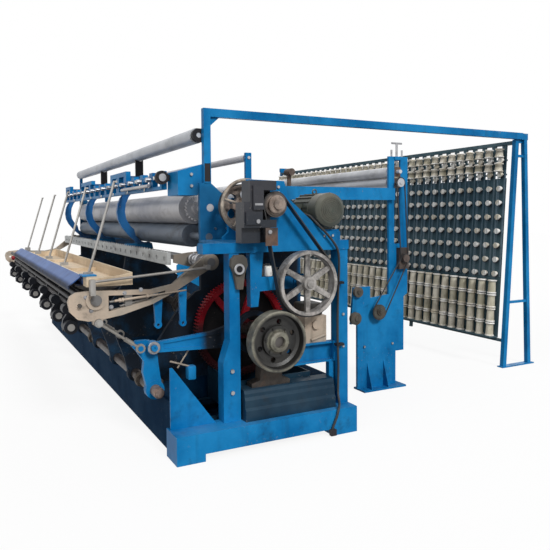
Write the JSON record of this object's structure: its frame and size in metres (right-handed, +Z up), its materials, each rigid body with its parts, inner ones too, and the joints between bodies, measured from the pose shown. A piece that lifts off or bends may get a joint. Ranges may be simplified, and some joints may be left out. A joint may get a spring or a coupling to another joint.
{
  "type": "fishing net making machine",
  "caption": "Long blue netting machine: belt-driven end frame with wheels and motor, rollers over a swinging net tray, feed rollers and a leaning creel of twine spools.",
  "frame": {"origin": "on the floor under the middle of the machine's overall box", "axes": "+X along the machine towards the drive end, +Y towards the creel, -Y towards the net tray, +Z up"},
  "size_m": [6.143, 4.838, 2.438],
  "materials": {
    "blue_paint": "semi-gloss enamel with chips and grime",
    "navy_paint": "dark blue enamel in shade, dusty",
    "red_paint": "gloss enamel, oily",
    "cream_paint": "worn cream enamel over castings, oil-stained",
    "black_paint": "matt black enamel",
    "rail_paint": "scuffed violet-blue enamel on folded sheet",
    "motor_paint": "grey-green machine enamel",
    "rusty_iron": "as cast, rusted",
    "dark_iron": "oiled dark cast iron",
    "worn_iron": "dusty cast iron, bare on the rim",
    "bright_steel": "turned steel, lightly oiled",
    "roller_steel": "ground steel tube, dull",
    "belt_rubber": "black rubber, dusty",
    "cup_plastic": "ivory plastic",
    "twine": "wound natural nylon twine",
    "tray_wood": "thin varnished boards"
  },
  "bodies": {
    "frame": {"end_sill": "blue_paint", "end_frame": "blue_paint", "oil_pan": "navy_paint", "deck": "blue_paint", "motor_bench": "blue_paint", "clutch_housing": "black_paint", "shaft_pedestal": "rusty_iron", "base_plinths": "navy_paint", "inner_frame": "blue_paint", "far_frame": "blue_paint", "stand_frames": "blue_paint", "c_arms": "blue_paint", "lattice_beam": "blue_paint", "frame_posts": "blue_paint", "cross_beams": "blue_paint", "black_fittings": "black_paint", "rust_castings": "rusty_iron", "beige_castings": "cream_paint", "motor_body": "motor_paint", "feed_stands": "blue_paint", "drive_belts": "belt_rubber", "steel_fittings": "bright_steel", "power_cable": "belt_rubber", "creel_frames": "blue_paint", "creel_rack": "navy_paint", "guide_cups": "cup_plastic", "cup_plugs": "black_paint", "spool_stacks": "twine"},
    "main": {"main_shaft": "bright_steel", "main_gear": "red_paint", "gear_web": "black_paint", "drum_wheel": "dark_iron"},
    "wheel": {"belt_wheel": "worn_iron"},
    "clutch": {"clutch_shaft": "dark_iron", "handwheel": "worn_iron"},
    "motor": {"motor_shaft": "bright_steel"},
    "take_up_main": {"main_roller": "roller_steel"},
    "take_up_low": {"low_roller": "roller_steel"},
    "take_up_back": {"back_roller": "roller_steel"},
    "roller_top": {"top_roller": "roller_steel"},
    "roller_guide": {"guide_roller": "roller_steel"},
    "feed_low": {"feed_roller_low": "roller_steel"},
    "feed_up": {"feed_roller_up": "roller_steel"},
    "feed_drive": {"feed_shaft": "dark_iron"},
    "pulley_low": {"low_pulley": "dark_iron"},
    "pulley_high": {"high_pulley": "dark_iron"},
    "screw": {"tee_screw": "bright_steel"},
    "carriage": {"carriage_shafts": "bright_steel", "end_arms": "cream_paint", "carriage_rods": "bright_steel", "net_tray": "tray_wood", "front_rail": "rail_paint", "drop_arms": "black_paint"},
    "hooks": {"hook_bar": "roller_steel"},
    "rock": {"rock_shaft": "dark_iron", "rock_lever": "blue_paint"},
    "con_rod": {"connecting_rod": "blue_paint"},
    "push": {"push_rods": "bright_steel"},
    "hanger_a": {"link_a": "blue_paint"},
    "hanger_b": {"link_b": "blue_paint"}
  },
  "joints": [
    {"name": "main_turn", "type": "hinge", "parent": "frame", "child": "main", "pos_m": [2.6285, -1.091, 0.731], "axis": [1, 0, 0], "continuous": true},
    {"name": "wheel_turn", "type": "hinge", "parent": "frame", "child": "wheel", "pos_m": [2.6285, -0.84724, 1.1211], "axis": [1, 0, 0], "continuous": true},
    {"name": "clutch_turn", "type": "hinge", "parent": "frame", "child": "clutch", "pos_m": [2.6285, -1.106, 1.673], "axis": [1, 0, 0], "continuous": true},
    {"name": "motor_turn", "type": "hinge", "parent": "frame", "child": "motor", "pos_m": [2.6285, -0.623, 1.638], "axis": [1, 0, 0], "continuous": true},
    {"name": "take_up_main_turn", "type": "hinge", "parent": "frame", "child": "take_up_main", "pos_m": [0.0285, -1.273, 1.665], "axis": [1, 0, 0], "continuous": true},
    {"name": "take_up_low_turn", "type": "hinge", "parent": "frame", "child": "take_up_low", "pos_m": [0.0285, -1.285, 1.436], "axis": [1, 0, 0], "continuous": true},
    {"name": "take_up_back_turn", "type": "hinge", "parent": "frame", "child": "take_up_back", "pos_m": [0.0285, -1.063, 1.58], "axis": [1, 0, 0], "continuous": true},
    {"name": "roller_top_turn", "type": "hinge", "parent": "frame", "child": "roller_top", "pos_m": [0.0285, -1.343, 2.232], "axis": [1, 0, 0], "continuous": true},
    {"name": "roller_guide_turn", "type": "hinge", "parent": "frame", "child": "roller_guide", "pos_m": [0.0285, -0.952, 2.064], "axis": [1, 0, 0], "continuous": true},
    {"name": "feed_low_turn", "type": "hinge", "parent": "frame", "child": "feed_low", "pos_m": [0.0285, 0.61, 1.896], "axis": [1, 0, 0], "continuous": true},
    {"name": "feed_up_turn", "type": "hinge", "parent": "frame", "child": "feed_up", "pos_m": [0.0285, 0.61, 1.998], "axis": [1, 0, 0], "continuous": true},
    {"name": "feed_drive_turn", "type": "hinge", "parent": "frame", "child": "feed_drive", "pos_m": [2.2285, 0.359, 0.718], "axis": [1, 0, 0], "continuous": true},
    {"name": "pulley_low_turn", "type": "hinge", "parent": "frame", "child": "pulley_low", "pos_m": [2.2285, 0.103, 0.675], "axis": [1, 0, 0], "continuous": true},
    {"name": "pulley_high_turn", "type": "hinge", "parent": "frame", "child": "pulley_high", "pos_m": [2.2285, 0.132, 0.911], "axis": [1, 0, 0], "continuous": true},
    {"name": "screw_turn", "type": "hinge", "parent": "frame", "child": "screw", "pos_m": [2.1655, 0.61, 2.2], "axis": [0, 0, 1], "range_deg": [-180, 180]},
    {"name": "carriage_swing", "type": "hinge", "parent": "frame", "child": "carriage", "pos_m": [2.6285, -1.437, 1.271], "axis": [1, 0, 0], "range_deg": [-1.2, 1.6]},
    {"name": "hooks_slide", "type": "slide", "parent": "frame", "child": "hooks", "axis": [1, 0, 0], "range_m": [-0.012, 0.012]},
    {"name": "rock_turn", "type": "hinge", "parent": "frame", "child": "rock", "pos_m": [2.6285, -1.842, 0.393], "axis": [1, 0, 0], "range_deg": [-6.5, 5]},
    {"name": "con_rod_turn", "type": "hinge", "parent": "rock", "child": "con_rod", "pos_m": [2.6235, -1.861, 0.699], "axis": [1, 0, 0], "range_deg": [-5, 6.5]},
    {"name": "push_turn", "type": "hinge", "parent": "rock", "child": "push", "pos_m": [2.6685, -1.96, 0.71], "axis": [1, 0, 0], "range_deg": [-10.5, 13.8]},
    {"name": "hanger_a_swing", "type": "hinge", "parent": "carriage", "child": "hanger_a", "pos_m": [2.5835, -1.812, 1.043], "axis": [1, 0, 0], "range_deg": [-8, 8]},
    {"name": "hanger_b_swing", "type": "hinge", "parent": "carriage", "child": "hanger_b", "pos_m": [2.5835, -1.632, 1.156], "axis": [1, 0, 0], "range_deg": [-8, 8]}
  ],
  "couplings": [
    {"joint": "wheel_turn", "follows": "main_turn", "ratio": -4},
    {"joint": "clutch_turn", "follows": "main_turn", "ratio": -10.918},
    {"joint": "motor_turn", "follows": "main_turn", "ratio": -29.114},
    {"joint": "take_up_low_turn", "follows": "take_up_main_turn", "ratio": -1.3684},
    {"joint": "take_up_back_turn", "follows": "take_up_main_turn", "ratio": -1.4444},
    {"joint": "feed_up_turn", "follows": "feed_low_turn", "ratio": -1},
    {"joint": "feed_drive_turn", "follows": "feed_low_turn", "ratio": 0.60606},
    {"joint": "rock_turn", "follows": "carriage_swing", "ratio": -3.85},
    {"joint": "con_rod_turn", "follows": "carriage_swing", "ratio": 3.85},
    {"joint": "push_turn", "follows": "carriage_swing", "ratio": 8.3}
  ]
}
